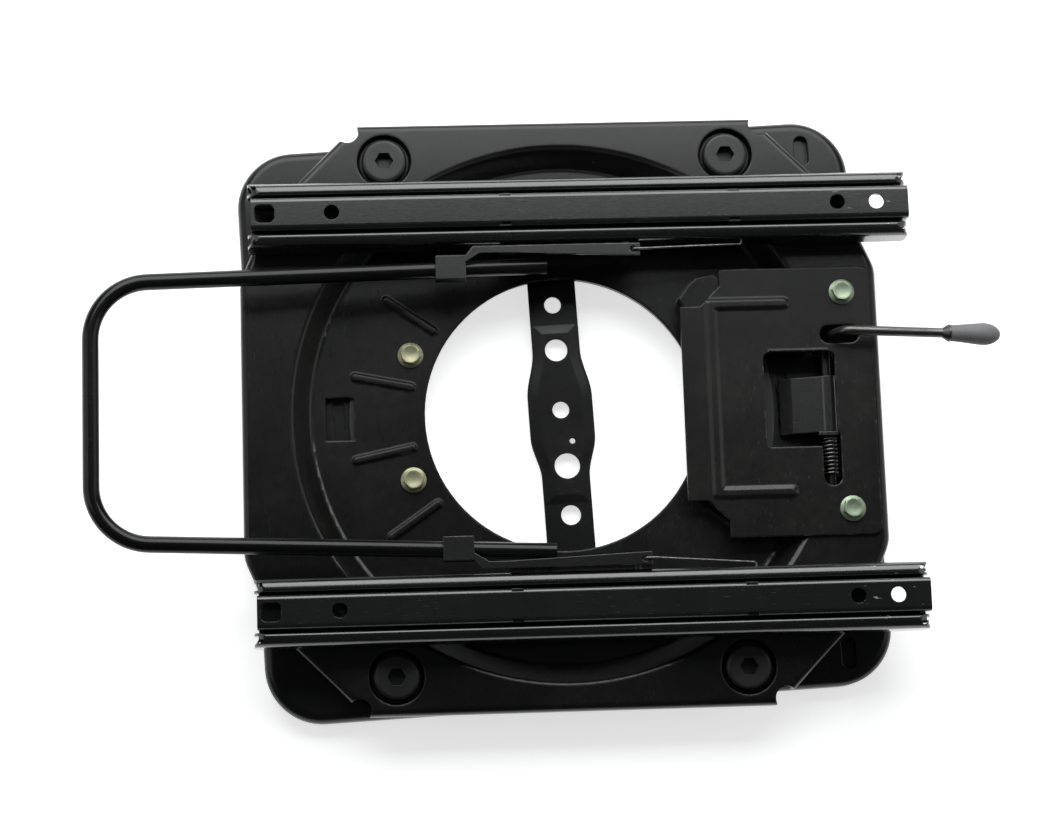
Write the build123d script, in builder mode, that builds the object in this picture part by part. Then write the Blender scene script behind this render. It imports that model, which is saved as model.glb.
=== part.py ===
from build123d import *
import os

# Swivel seat base: a pressed floor pan, a turntable on a clamped ring bearing, two seat rails with their
# release bar, and a sprung lever that locks the swivel. Millimetres and degrees. +Z is up, +X points to the
# back of the seat, +Y to its right. The origin is on the swivel axis at the level of the floor.

# Shared sizes
SHEET = 2.5
RUN_GAP = 0.3
PIVOT_GAP = 0.1

# Floor pan, turned a little past its lock
BASE_TURN = 2.4
BASE_LENGTH = 439.0
BASE_WIDTH = 407.0
BASE_CORNER_R = 40.0
BASE_HEIGHT = 18.0
BASE_BEND_R = 7.0
FLOOR_HOLE_R = 5.25
FLOOR_HOLE_CIRCLE = 474.0
CORNER_SLOT_INSET_X = 32.5
CORNER_SLOT_INSET_Y = 22.5
CORNER_SLOT_LENGTH = 22.0
CORNER_SLOT_WIDTH = 10.0
CORNER_SLOT_DEPTH = 6.0

# Ring bearing
OPENING_R = 97.0
BORE_STEP = 2.0
HUB_WALL = 32.0
FLANGE_WIDTH = 19.0
RETAINER_SHEET = 3.0
UPPER_GLIDE = 3.0
LOWER_GLIDE = 2.5
RING_BOLT_ANGLE = 22.7

# Turntable, its corners set in from its length and width
PLATE_LENGTH = 448.6
PLATE_WIDTH = 417.2
PLATE_SIDE_INSET = 110.6
PLATE_END_INSET = 82.0
PLATE_KNEE_INSET_X = 21.3
PLATE_KNEE_INSET_Y = 60.6
PLATE_KNEE_R = 30.0
PLATE_CORNER_R = 25.0
PLATE_END_R = 8.0
PLATE_BEND_R = 5.0
PLATE_RIM = 14.0
RELIEF_R = 8.0
RELIEF_SHIFT = 4.6
DISH_DEPTH = 14.2
DISH_SLOPE = 13.0
DISH_LAND = 6.0
DISH_GAP = 2.3
DISH_BEND_R = 4.0
RIB_INNER_R = 105.0
RIB_OUTER_R = 152.0
RIB_WIDTH = 7.0
RIB_RISE = 1.6
RIB_ANGLES = (11.5, -11.5, 34.5, -34.5, 168.5, 191.5, 145.5, 214.5)
LAND_POINTS = (
    (88.0, 68.0), (84.0, 78.0), (91.0, 88.0), (97.0, 93.0), (108.0, 95.0), (117.0, 88.0), (117.0, 68.0),
)
PRESS_TAPER = 48.0
SIGHT_X = 156.5
SIGHT_LENGTH = 20.0
SIGHT_WIDTH = 30.0
BAY_START_INSET = 17.0
BAY_END_INSET = 6.0
BAY_SIDE_LOW = -63.0
BAY_SIDE_HIGH = 62.0

# Corner pads
CORNER_PAD_INSET_X = 21.0
CORNER_PAD_INSET_Y = 26.6
POCKET_R = 20.5
POCKET_FLOOR_R = 17.5
POCKET_DEPTH = 6.0
CORNER_PAD_R = 16.0
CORNER_PAD_HEIGHT = 7.0
CORNER_PAD_CROWN = 3.0
CORNER_PAD_STEM_R = 9.0
CORNER_PAD_SOCKET = 6.5
CORNER_PAD_SOCKET_DEPTH = 8.0

# Lock plate, set in from the turntable's back edge and a little to its right
LOCK_INSET = 5.3
LOCK_MID_Y = 2.5
LOCK_START_X = 84.0
LOCK_HALF = 95.3
LOCK_NOSE_HALF = 69.0
LOCK_NOSE_X = 98.0
LOCK_SHOULDER_X = 112.5
LOCK_CORNER_R = 6.0
LOCK_BOLT_INSET = 20.2
LOCK_BOLT_HALF = 77.0
BEAD_X = 105.6
BEAD_END_X = 157.0
BEAD_MID_Y = 5.5
BEAD_HALF = 67.0
BEAD_WIDTH = 9.5
BEAD_RISE = 1.5
BEAD_TAPER = 62.0
WINDOW_START_INSET = 13.0
WINDOW_OVERHANG = 5.0
WINDOW_LOW = -30.0
WINDOW_HIGH = 37.0
WINDOW_CORNER_R = 4.0
WINDOW_LIP = 3.0
WINDOW_LIP_THICK = 2.0
SPRING_SLOT_HALF = 6.5
SPRING_SLOT_CLEAR = 2.0
LEVER_SLOT_BEFORE = 4.5
LEVER_SLOT_AFTER = 23.5
LEVER_SLOT_HALF = 6.5

# Swivel lock lever
SHAFT_INSET = 32.5
SHAFT_DROP = 8.0
SHAFT_R = 3.4
SHAFT_END_Y = -59.0
LEVER_Y = 49.5
LEVER_LEAN = 11.5
LEVER_CLEAR = 13.5
LEVER_REACH = 62.0
LEVER_END_Y = 44.7
LEVER_BEND_R = 8.0
COLLAR_LENGTH = 5.5
COLLAR_RIM = 1.2
COLLAR_R = 6.1
GRIP_COVER = 14.9
GRIP_LENGTH = 35.5
GRIP_R = 7.8
GRIP_BELLY = 0.66
GRIP_NOSE_R = 2.5
GRIP_NECK_R = 5.5
PAWL_LOW_Y = -19.0
PAWL_HIGH_Y = 20.5
PAWL_HUB_R = 6.5
PAWL_CLEAR = 4.0
PAWL_TIP_THICK = 6.0
PAWL_SHEET = 4.0
DETENT_CLEAR = 1.0
DETENT_DEPTH = 1.6
EAR_LOW_Y = -22.0
EAR_HIGH_Y = 38.0
EAR_SHEET = 2.5
EAR_BEFORE = 8.0
EAR_AFTER = 23.0
EAR_DROP = 14.5
COIL_LENGTH = 33.0
COIL_TURNS = 9
COIL_R = 5.4
COIL_WIRE_R = 0.8

# Seat rails
RAIL_Y = 138.0
RAIL_SHEET = 2.0
RAIL_WIDTH = 46.0
RAIL_HEIGHT = 28.0
RAIL_START_X = -217.0
RAIL_END_X = 244.7
RAIL_FLOOR_R = 3.0
RAIL_SHOULDER = 7.6
RAIL_SHOULDER_R = 5.6
RAIL_LIP_R = 1.5
RAIL_END_R = 9.0
LIP_DEPTH = 13.0
LIP_GAP = 1.7
HOOK_GAP = 2.2
SLIDER_START_X = -214.3
SLIDER_END_X = 244.6
SLIDER_RISE = 3.0
SLIDER_FOOT = 5.0
SLIDER_HOOK_LAP = 1.0
SLIDER_BEND_R = 2.5
SEAT_HOLE_R = 5.3
SEAT_HOLE_FRONT_X = -158.5
SEAT_HOLE_BACK_X = 194.5
END_HOLE_X = 222.0
FLOOR_NOTCH_LEAD = 10.0
FLOOR_NOTCH_HALF = 14.0
END_WINDOW_X = -205.0
END_WINDOW_LENGTH = 14.0
END_WINDOW_WIDTH = 13.0
STOP_NOTCH_XS = (-38.0, 122.0)
STOP_NOTCH_LENGTH = 8.0
STOP_NOTCH_DEPTH = 2.4
STOP_NOTCH_HEIGHT = 3.0
CRIMP_HOLE_R = 1.6
CRIMP_INSET = 5.0
RAIL_SCREW_X = 160.0
SHOE_XS = (-118.0, 143.0)
SHOE_LENGTH = 24.0
SHOE_HEIGHT = 11.0
RACK_START_X = -90.0
RACK_PITCH = 12.0
RACK_COUNT = 11
RACK_NOTCH = 6.0
RACK_DEPTH = 5.0

# Rail release bar, which climbs to the front, and its latch levers
BAR_R = 5.7
BAR_WALL = 1.5
BAR_END_RISE = 15.0
BAR_FRONT_RISE = 38.0
BAR_FRONT_X = -324.0
BAR_END_X = -10.0
BAR_FRONT_HALF = 89.0
BAR_END_HALF = 100.3
BAR_CORNER_R = 40.0
LATCH_SHEET = 2.0
LATCH_GAP = 2.6
LATCH_START_X = -42.0
LATCH_END_X = 55.0
LATCH_START_WIDTH = 5.0
LATCH_END_WIDTH = 9.0
LATCH_DROP = 17.0
SADDLE_X = -77.0
SADDLE_LENGTH = 21.0
SADDLE_DROP = 10.0
SADDLE_GAP = 0.6
NECK_WIDTH = 5.0
TOOTH_XS = (-27.0, -15.0)
TOOTH_WIDTH = 5.0
TOOTH_REACH = 0.8
TOOTH_WINDOW_START_X = -34.0
TOOTH_WINDOW_END_X = -8.0
TOOTH_WINDOW_BELOW = 1.5
TOOTH_WINDOW_ABOVE = 8.5
LATCH_PIVOT_X = 46.0
LATCH_PIVOT_RISE = 15.0
LATCH_PIN_R = 3.0
LATCH_HEAD_R = 5.0
LATCH_HEAD_THICK = 2.0
WIRE_R = 0.9
WIRE_END_X = 127.0
WIRE_HOOK_RISE = 19.0
WIRE_STANDOFF = 3.0
WIRE_BEND_R = 1.8
WIRE_HOLE_X = 50.0
WIRE_HOLE_R = 2.2
WIRE_TAIL = 2.5
WIRE_INSET = 2.4
WIRE_RUN = 2.0

# Strap across the opening
STRAP_HALF = 17.2
STRAP_WIDE_HALF = 24.0
STRAP_WIDE_LOW = -34.0
STRAP_WIDE_HIGH = 28.0
STRAP_TAPER = 18.0
STRAP_Z = 4.0
STRAP_SHEET = 2.5
STRAP_CLEAR = 4.0
STRAP_RAMP = 10.0
STRAP_INSET = 7.0
STRAP_RIVET_X = 9.0
STRAP_HOLES = (
    (0.0, 82.0, 6.0), (0.0, 49.0, 8.0), (0.0, 5.7, 6.0),
    (6.5, -17.0, 2.0), (1.5, -34.6, 9.0), (1.5, -69.6, 7.0),
)

# Fasteners
BOLT_R = 4.0
BOLT_HOLE_GAP = 0.25
BOLT_HEX_R = 7.5
BOLT_HEAD = 6.0
BOLT_CROWN = 0.8
BOLT_FLANGE_R = 9.0
BOLT_FLANGE = 1.4
NUT_HEIGHT = 6.5
BUTTON_R = 7.0
BUTTON_HEIGHT = 4.2
BUTTON_SOCKET_R = 2.9
BUTTON_SOCKET_DEPTH = 2.6
RIVET_R = 3.0
RIVET_HEAD_R = 4.5
RIVET_HEAD = 1.8

# Levels
base_under = BASE_HEIGHT - SHEET
dish_under = BASE_HEIGHT + UPPER_GLIDE + RUN_GAP
dish_top = dish_under + SHEET
plate_top = dish_top + DISH_DEPTH
plate_under = plate_top - SHEET
rim_bottom = plate_top - PLATE_RIM
retainer_top = base_under - RUN_GAP - LOWER_GLIDE
retainer_under = retainer_top - RETAINER_SHEET
lock_top = plate_top + SHEET
pocket_top = plate_top - POCKET_DEPTH
shaft_z = plate_top - SHAFT_DROP
lever_z = lock_top + LEVER_CLEAR
lip_bottom = RAIL_HEIGHT - LIP_DEPTH
slider_top = RAIL_HEIGHT + SLIDER_RISE
hook_top = lip_bottom + SLIDER_HOOK_LAP
tooth_low = plate_top + hook_top + RUN_GAP
tooth_window_low = plate_top + hook_top - TOOTH_WINDOW_BELOW
tooth_window_high = plate_top + hook_top + TOOTH_WINDOW_ABOVE
latch_pivot_z = plate_top + LATCH_PIVOT_RISE
wire_hook_z = plate_top + WIRE_HOOK_RISE

# Radii of the ring bearing, from the opening outwards
retainer_bore_r = OPENING_R + BORE_STEP
hub_r = retainer_bore_r + HUB_WALL
retainer_r = hub_r + FLANGE_WIDTH
ring_bolt_circle_r = (retainer_bore_r + hub_r) / 2

# Places on the turntable
plate_side_half = PLATE_WIDTH / 2 - PLATE_SIDE_INSET
plate_end_half = PLATE_LENGTH / 2 - PLATE_END_INSET
plate_knee_x = PLATE_LENGTH / 2 - PLATE_KNEE_INSET_X
plate_knee_y = PLATE_WIDTH / 2 - PLATE_KNEE_INSET_Y
corner_pad_x = plate_end_half - CORNER_PAD_INSET_X
corner_pad_y = PLATE_WIDTH / 2 - CORNER_PAD_INSET_Y
lock_end_x = PLATE_LENGTH / 2 - LOCK_INSET
lock_bolt_x = lock_end_x - LOCK_BOLT_INSET
shaft_x = lock_end_x - SHAFT_INSET
pawl_tip_x = retainer_r + PAWL_CLEAR
window_start_x = pawl_tip_x - WINDOW_START_INSET
window_end_x = shaft_x + WINDOW_OVERHANG
bay_start_x = pawl_tip_x - BAY_START_INSET
bay_end_x = lock_end_x - BAY_END_INSET
lever_slot_start_x = shaft_x - LEVER_SLOT_BEFORE
lever_slot_end_x = shaft_x + LEVER_SLOT_AFTER
lever_rise_x = shaft_x + LEVER_LEAN
lever_end_x = PLATE_LENGTH / 2 + LEVER_REACH
ear_start_x = shaft_x - EAR_BEFORE
ear_end_x = shaft_x + EAR_AFTER
coil_start_y = EAR_LOW_Y - COIL_WIRE_R - PIVOT_GAP
coil_end_y = coil_start_y - COIL_LENGTH

# The dish takes the room inside the corner pockets and the fasteners of the rails and the lock plate
pocket_reach = Vector(corner_pad_x, corner_pad_y).length - POCKET_R
rail_screw_reach = Vector(RAIL_SCREW_X, RAIL_Y).length - BOLT_FLANGE_R
lock_bolt_reach = Vector(lock_bolt_x, LOCK_BOLT_HALF - LOCK_MID_Y).length - BOLT_FLANGE_R
dish_join_r = min(pocket_reach, rail_screw_reach, lock_bolt_reach) - DISH_GAP
dish_mouth_r = dish_join_r - DISH_LAND
dish_floor_r = dish_mouth_r - DISH_SLOPE

# Places on the rails and on the strap
rail_inner_y = RAIL_Y - RAIL_WIDTH / 2
rail_mid_x = (RAIL_START_X + RAIL_END_X) / 2
rail_length = RAIL_END_X - RAIL_START_X
lip_half = RAIL_WIDTH / 2 - RAIL_SHOULDER
slider_half = lip_half - RAIL_SHEET - LIP_GAP
slider_hook_half = RAIL_WIDTH / 2 - RAIL_SHEET - HOOK_GAP
slider_length = SLIDER_END_X - SLIDER_START_X
tooth_tip_half = lip_half + TOOTH_REACH
strap_ramp_y = retainer_r + STRAP_CLEAR
strap_ramp_end_y = strap_ramp_y + STRAP_RAMP
strap_end_y = BASE_WIDTH / 2 - BASE_BEND_R - STRAP_INSET
strap_rivet_y = (strap_ramp_end_y + strap_end_y) / 2

base_plane = Plane.XY.rotated((0, 0, BASE_TURN))
ring_bolt_points = [
    Vector(ring_bolt_circle_r, 0).rotate(Axis.Z, turn) for turn in
    (RING_BOLT_ANGLE, -RING_BOLT_ANGLE, 180 - RING_BOLT_ANGLE, 180 + RING_BOLT_ANGLE)
]
corner_points = [(sx * corner_pad_x, sy * corner_pad_y) for sx in (-1, 1) for sy in (-1, 1)]
rail_screw_points = [(sx * RAIL_SCREW_X, sy * RAIL_Y) for sx in (-1, 1) for sy in (-1, 1)]
lock_bolt_points = [(lock_bolt_x, LOCK_MID_Y + LOCK_BOLT_HALF), (lock_bolt_x, LOCK_MID_Y - LOCK_BOLT_HALF)]
strap_rivet_points = [(sx * STRAP_RIVET_X, sy * strap_rivet_y) for sx in (-1, 1) for sy in (-1, 1)]
corner_slot_x = BASE_LENGTH / 2 - CORNER_SLOT_INSET_X
corner_slot_y = BASE_WIDTH / 2 - CORNER_SLOT_INSET_Y
corner_slot_points = [(corner_slot_x, corner_slot_y), (corner_slot_x, -corner_slot_y)]


# Floor pan
with BuildPart() as base_plate:
    with BuildSketch(base_plane):
        RectangleRounded(BASE_LENGTH, BASE_WIDTH, BASE_CORNER_R)
    extrude(amount=BASE_HEIGHT)
    fillet(base_plate.faces().sort_by(Axis.Z)[-1].edges(), BASE_BEND_R)
    offset(amount=-SHEET, openings=base_plate.faces().sort_by(Axis.Z)[0])
    with BuildSketch(base_plane.offset(BASE_HEIGHT)):
        Circle(hub_r + RUN_GAP)
        with PolarLocations(FLOOR_HOLE_CIRCLE / 2, 4, start_angle=45):
            Circle(FLOOR_HOLE_R)
        with Locations(*strap_rivet_points):
            Circle(RIVET_R)
    extrude(amount=-2 * SHEET, mode=Mode.SUBTRACT)
    with BuildSketch(base_plane.offset(base_under)):
        with Locations(*corner_slot_points):
            SlotOverall(CORNER_SLOT_LENGTH + 2 * SHEET, CORNER_SLOT_WIDTH + 2 * SHEET, rotation=90)
    extrude(amount=-CORNER_SLOT_DEPTH)
    with BuildSketch(base_plane.offset(BASE_HEIGHT)):
        with Locations(*corner_slot_points):
            SlotOverall(CORNER_SLOT_LENGTH, CORNER_SLOT_WIDTH, rotation=90)
    extrude(amount=-CORNER_SLOT_DEPTH, mode=Mode.SUBTRACT)
    with BuildSketch(base_plane.offset(BASE_HEIGHT)):
        detent_x = pawl_tip_x + PAWL_TIP_THICK / 2
        detent_width = PAWL_HIGH_Y - PAWL_LOW_Y + 2 * DETENT_CLEAR
        with Locations((detent_x, 0), (-detent_x, 0)):
            Rectangle(PAWL_TIP_THICK + 2 * DETENT_CLEAR, detent_width)
    extrude(amount=-DETENT_DEPTH, mode=Mode.SUBTRACT)

# Glide rings and the ring that clamps the turntable to the floor pan
with BuildPart() as upper_glide_ring:
    with BuildSketch(Plane.XY.offset(BASE_HEIGHT)):
        Circle(retainer_r)
        Circle(hub_r + RUN_GAP, mode=Mode.SUBTRACT)
    extrude(amount=UPPER_GLIDE)

with BuildPart() as lower_glide_ring:
    with BuildSketch(Plane.XY.offset(retainer_top)):
        Circle(retainer_r)
        Circle(hub_r, mode=Mode.SUBTRACT)
    extrude(amount=LOWER_GLIDE)

with BuildPart() as retaining_ring:
    with BuildSketch(Plane.XZ):
        with BuildLine():
            Polyline(
                (retainer_bore_r, retainer_under),
                (retainer_r, retainer_under),
                (retainer_r, retainer_top),
                (hub_r, retainer_top),
                (hub_r, dish_under),
                (retainer_bore_r, dish_under),
                close=True,
            )
        make_face()
    revolve(axis=Axis.Z)
    with BuildSketch(Plane.XY.offset(dish_under)):
        with Locations(*ring_bolt_points):
            Circle(BOLT_R)
    extrude(amount=retainer_under - dish_under, mode=Mode.SUBTRACT)

# Turntable
with BuildPart() as turntable_plate:
    with BuildSketch(Plane.XY.offset(rim_bottom)) as plate_outline:
        with BuildLine():
            Polyline(
                (0, 0),
                (PLATE_LENGTH / 2, 0),
                (PLATE_LENGTH / 2, plate_side_half),
                (plate_knee_x, plate_knee_y),
                (plate_end_half, PLATE_WIDTH / 2),
                (0, PLATE_WIDTH / 2),
                close=True,
            )
        make_face()
        mirror(about=Plane.XZ)
        mirror(about=Plane.YZ)
        knees = plate_outline.vertices().filter_by(lambda v: abs(abs(v.X) - plate_knee_x) < 1)
        fillet(knees, PLATE_KNEE_R)
        corners = plate_outline.vertices().filter_by(
            lambda v: abs(abs(v.X) - PLATE_LENGTH / 2) < 1 and abs(abs(v.Y) - plate_side_half) < 1)
        fillet(corners, PLATE_CORNER_R)
        ends = plate_outline.vertices().filter_by(lambda v: abs(abs(v.X) - plate_end_half) < 1)
        fillet(ends, PLATE_END_R)
    extrude(amount=PLATE_RIM)
    fillet(turntable_plate.faces().sort_by(Axis.Z)[-1].edges(), PLATE_BEND_R)
    offset(amount=-SHEET, openings=turntable_plate.faces().sort_by(Axis.Z)[0])
    with BuildSketch(Plane.XY.offset(plate_top)):
        Circle(dish_join_r)
        with Locations(*corner_points):
            Circle(POCKET_R)
    extrude(amount=-2 * SHEET, mode=Mode.SUBTRACT)
    with BuildSketch(Plane.XZ) as dish_section:
        with BuildLine():
            Polyline(
                (OPENING_R, dish_under),
                (dish_floor_r + SHEET / 2, dish_under),
                (dish_mouth_r + SHEET / 2, plate_under),
                (dish_join_r, plate_under),
                (dish_join_r, plate_top),
                (dish_mouth_r, plate_top),
                (dish_floor_r, dish_top),
                (OPENING_R, dish_top),
                close=True,
            )
        make_face()
        bends = dish_section.vertices().filter_by(lambda v: dish_floor_r - 1 < v.X < dish_mouth_r + SHEET)
        fillet(bends, DISH_BEND_R)
    revolve(axis=Axis.Z)
    for corner in corner_points:
        pocket_plane = Plane(origin=(*corner, 0), x_dir=(1, 0, 0), z_dir=(0, -1, 0))
        with BuildSketch(pocket_plane):
            with BuildLine():
                Polyline(
                    (CORNER_PAD_STEM_R, pocket_top - SHEET),
                    (POCKET_FLOOR_R + SHEET / 2, pocket_top - SHEET),
                    (POCKET_R, plate_under),
                    (POCKET_R, plate_top),
                    (POCKET_R - SHEET / 2, plate_top),
                    (POCKET_FLOOR_R, pocket_top),
                    (CORNER_PAD_STEM_R, pocket_top),
                    close=True,
                )
            make_face()
        revolve(axis=Axis((*corner, 0), (0, 0, 1)))
    with BuildSketch(Plane.XY.offset(dish_top)):
        for rib_angle in RIB_ANGLES:
            with PolarLocations((RIB_INNER_R + RIB_OUTER_R) / 2, 1, start_angle=rib_angle):
                SlotOverall(RIB_OUTER_R - RIB_INNER_R, RIB_WIDTH)
    extrude(amount=RIB_RISE, taper=PRESS_TAPER)
    with BuildSketch(Plane.XY.offset(plate_top)):
        Polygon(*LAND_POINTS, align=None)
    extrude(amount=dish_under - plate_top)
    with BuildSketch(Plane.XY.offset(plate_top)):
        with Locations(*ring_bolt_points, *rail_screw_points, *lock_bolt_points):
            Circle(BOLT_R + BOLT_HOLE_GAP)
        with Locations((-SIGHT_X, 0)):
            Rectangle(SIGHT_LENGTH, SIGHT_WIDTH)
        with Locations(((bay_start_x + bay_end_x) / 2, (BAY_SIDE_LOW + BAY_SIDE_HIGH) / 2)):
            Rectangle(bay_end_x - bay_start_x, BAY_SIDE_HIGH - BAY_SIDE_LOW)
    extrude(amount=dish_under - plate_top, mode=Mode.SUBTRACT)
    with BuildSketch(Plane.XY.offset(rim_bottom)):
        relief_x = plate_end_half + RELIEF_SHIFT
        relief_y = PLATE_WIDTH / 2 - RELIEF_SHIFT
        with Locations(*[(sx * relief_x, sy * relief_y) for sx in (-1, 1) for sy in (-1, 1)]):
            Circle(RELIEF_R)
    extrude(amount=PLATE_RIM, mode=Mode.SUBTRACT)


def flange_bolts(points, seat_z, reach):
    """Hexagon bolts with a flange, heads up, as separate solids in one group."""
    with BuildPart() as bolts:
        with BuildSketch(Plane.XY.offset(seat_z)):
            with Locations(*points):
                RegularPolygon(BOLT_HEX_R, 6)
        extrude(amount=BOLT_HEAD)
        chamfer(bolts.faces().group_by(Axis.Z)[-1].edges(), BOLT_CROWN)
        with BuildSketch(Plane.XY.offset(seat_z)):
            with Locations(*points):
                Circle(BOLT_FLANGE_R)
        extrude(amount=BOLT_FLANGE)
        with BuildSketch(Plane.XY.offset(seat_z)):
            with Locations(*points):
                Circle(BOLT_R)
        extrude(amount=-reach)
    return bolts.part


def hex_nuts(points, seat_z):
    """Hexagon nuts that hang under a seat, as separate solids in one group."""
    with BuildPart() as nuts:
        with BuildSketch(Plane.XY.offset(seat_z)):
            with Locations(*points):
                RegularPolygon(BOLT_HEX_R, 6)
                Circle(BOLT_R, mode=Mode.SUBTRACT)
        extrude(amount=-NUT_HEIGHT)
    return nuts.part


# Bolts of the ring bearing, threaded into its hub
ring_bolts = flange_bolts(ring_bolt_points, dish_top, dish_top - retainer_top)

# Lock plate with its bolts and nuts
with BuildPart() as lock_plate:
    with BuildSketch(Plane.XY.offset(plate_top)) as lock_outline:
        with BuildLine():
            shoulder_half = LOCK_NOSE_HALF + LOCK_SHOULDER_X - LOCK_NOSE_X
            Polyline(
                (LOCK_START_X, LOCK_MID_Y),
                (LOCK_START_X, LOCK_MID_Y + LOCK_NOSE_HALF),
                (LOCK_NOSE_X, LOCK_MID_Y + LOCK_NOSE_HALF),
                (LOCK_SHOULDER_X, LOCK_MID_Y + shoulder_half),
                (LOCK_SHOULDER_X, LOCK_MID_Y + LOCK_HALF),
                (lock_end_x, LOCK_MID_Y + LOCK_HALF),
                (lock_end_x, LOCK_MID_Y),
                close=True,
            )
        make_face()
        mirror(about=Plane.XZ.offset(-LOCK_MID_Y))
        outer = lock_outline.vertices().filter_by(lambda v: abs(v.X - lock_end_x) < 1)
        fillet(outer, LOCK_CORNER_R)
    extrude(amount=SHEET)
    with BuildSketch(Plane.XY.offset(lock_top)) as bead:
        bead_mid = (BEAD_X + BEAD_END_X) / 2
        with Locations((bead_mid, BEAD_MID_Y + BEAD_HALF), (bead_mid, BEAD_MID_Y - BEAD_HALF)):
            SlotOverall(BEAD_END_X - BEAD_X + BEAD_WIDTH, BEAD_WIDTH)
        with Locations((BEAD_X, BEAD_MID_Y)):
            SlotOverall(2 * BEAD_HALF + BEAD_WIDTH, BEAD_WIDTH, rotation=90)
    extrude(amount=BEAD_RISE, taper=BEAD_TAPER)
    with BuildSketch(Plane.XY.offset(lock_top)):
        with Locations(((window_start_x + window_end_x) / 2, (WINDOW_LOW + WINDOW_HIGH) / 2)):
            RectangleRounded(window_end_x - window_start_x, WINDOW_HIGH - WINDOW_LOW, WINDOW_CORNER_R)
        slot_top_y = WINDOW_LOW + 2 * SPRING_SLOT_HALF
        slot_end_y = coil_end_y - SPRING_SLOT_CLEAR
        with Locations((shaft_x, (slot_top_y + slot_end_y) / 2)):
            SlotOverall(slot_top_y - slot_end_y, 2 * SPRING_SLOT_HALF, rotation=90)
        with Locations(((lever_slot_start_x + lever_slot_end_x) / 2, LEVER_Y)):
            SlotOverall(lever_slot_end_x - lever_slot_start_x, 2 * LEVER_SLOT_HALF)
        with Locations(*lock_bolt_points):
            Circle(BOLT_R + BOLT_HOLE_GAP)
    extrude(amount=-SHEET, mode=Mode.SUBTRACT)
    with BuildSketch(Plane.XY.offset(lock_top)):
        with Locations(((window_start_x + window_end_x) / 2, WINDOW_HIGH + WINDOW_LIP_THICK / 2)):
            Rectangle(window_end_x - window_start_x - 2 * WINDOW_CORNER_R, WINDOW_LIP_THICK)
    extrude(amount=WINDOW_LIP)

lock_bolts = flange_bolts(lock_bolt_points, lock_top, lock_top - plate_under + NUT_HEIGHT)
lock_nuts = hex_nuts(lock_bolt_points, plate_under)

# Corner pads: crowned heads with a hexagon socket, feet just clear of the floor pan
with BuildPart() as corner_pads:
    with BuildSketch(Plane.XY.offset(pocket_top)):
        with Locations(*corner_points):
            Circle(CORNER_PAD_R)
    extrude(amount=CORNER_PAD_HEIGHT)
    fillet(corner_pads.faces().group_by(Axis.Z)[-1].edges(), CORNER_PAD_CROWN)
    with BuildSketch(Plane.XY.offset(pocket_top)):
        with Locations(*corner_points):
            Circle(CORNER_PAD_STEM_R)
    extrude(amount=BASE_HEIGHT + RUN_GAP - pocket_top)
    with BuildSketch(Plane.XY.offset(pocket_top + CORNER_PAD_HEIGHT)):
        with Locations(*corner_points):
            RegularPolygon(CORNER_PAD_SOCKET, 6)
    extrude(amount=-CORNER_PAD_SOCKET_DEPTH, mode=Mode.SUBTRACT)

# Bracket under the lock plate that carries the lever's shaft
with BuildPart() as lever_bracket:
    with BuildSketch(Plane.XY.offset(plate_top)):
        flange_mid = (window_end_x + ear_end_x) / 2
        with Locations((flange_mid, (EAR_LOW_Y + EAR_HIGH_Y + EAR_SHEET) / 2)):
            Rectangle(ear_end_x - window_end_x, EAR_HIGH_Y - EAR_LOW_Y + EAR_SHEET)
    extrude(amount=-EAR_SHEET)
    for ear_y in (EAR_LOW_Y, EAR_HIGH_Y):
        with BuildSketch(Plane.XZ.offset(-ear_y)):
            with Locations(((ear_start_x + ear_end_x) / 2, plate_top - EAR_DROP / 2)):
                Rectangle(ear_end_x - ear_start_x, EAR_DROP)
            with Locations((shaft_x, shaft_z)):
                Circle(SHAFT_R + PIVOT_GAP, mode=Mode.SUBTRACT)
        extrude(amount=-EAR_SHEET)

# Lever rod: shaft along Y, cranked up through the lock plate and out to a flared collar that stops the grip
rod_way = Vector(lever_end_x - lever_rise_x, LEVER_END_Y - LEVER_Y, 0).normalized()
grip_start = Vector(lever_end_x, LEVER_END_Y, lever_z) - rod_way * GRIP_COVER
with BuildPart() as lever_rod:
    with BuildLine() as rod_line:
        FilletPolyline(
            (shaft_x, SHAFT_END_Y, shaft_z),
            (shaft_x, LEVER_Y, shaft_z),
            (lever_rise_x, LEVER_Y, lever_z),
            (lever_end_x, LEVER_END_Y, lever_z),
            radius=LEVER_BEND_R,
        )
    with BuildSketch(Plane(origin=rod_line.line @ 0, z_dir=rod_line.line % 0)):
        Circle(SHAFT_R)
    sweep()
    with BuildSketch(Plane(origin=grip_start, x_dir=rod_way, z_dir=rod_way.cross(Vector(0, 0, 1)))):
        with BuildLine():
            Polyline(
                (-COLLAR_LENGTH, 0),
                (-COLLAR_LENGTH, SHAFT_R),
                (-COLLAR_RIM, COLLAR_R),
                (0, COLLAR_R),
                (0, 0),
                close=True,
            )
        make_face()
    revolve(axis=Axis(grip_start, rod_way))

# Grip pressed on the rod's end, turned about the rod
with BuildPart() as lever_grip:
    with BuildSketch(Plane(origin=grip_start, x_dir=rod_way, z_dir=rod_way.cross(Vector(0, 0, 1)))):
        with BuildLine():
            Line((0, 0), (0, GRIP_NECK_R))
            Spline((0, GRIP_NECK_R), (GRIP_LENGTH * GRIP_BELLY, GRIP_R), (GRIP_LENGTH, GRIP_NOSE_R))
            Line((GRIP_LENGTH, GRIP_NOSE_R), (GRIP_LENGTH, 0))
            Line((GRIP_LENGTH, 0), (0, 0))
        make_face()
    revolve(axis=Axis(grip_start, rod_way))
    with BuildSketch(Plane(origin=grip_start, z_dir=rod_way)):
        Circle(SHAFT_R)
    extrude(amount=GRIP_COVER, mode=Mode.SUBTRACT)

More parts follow.
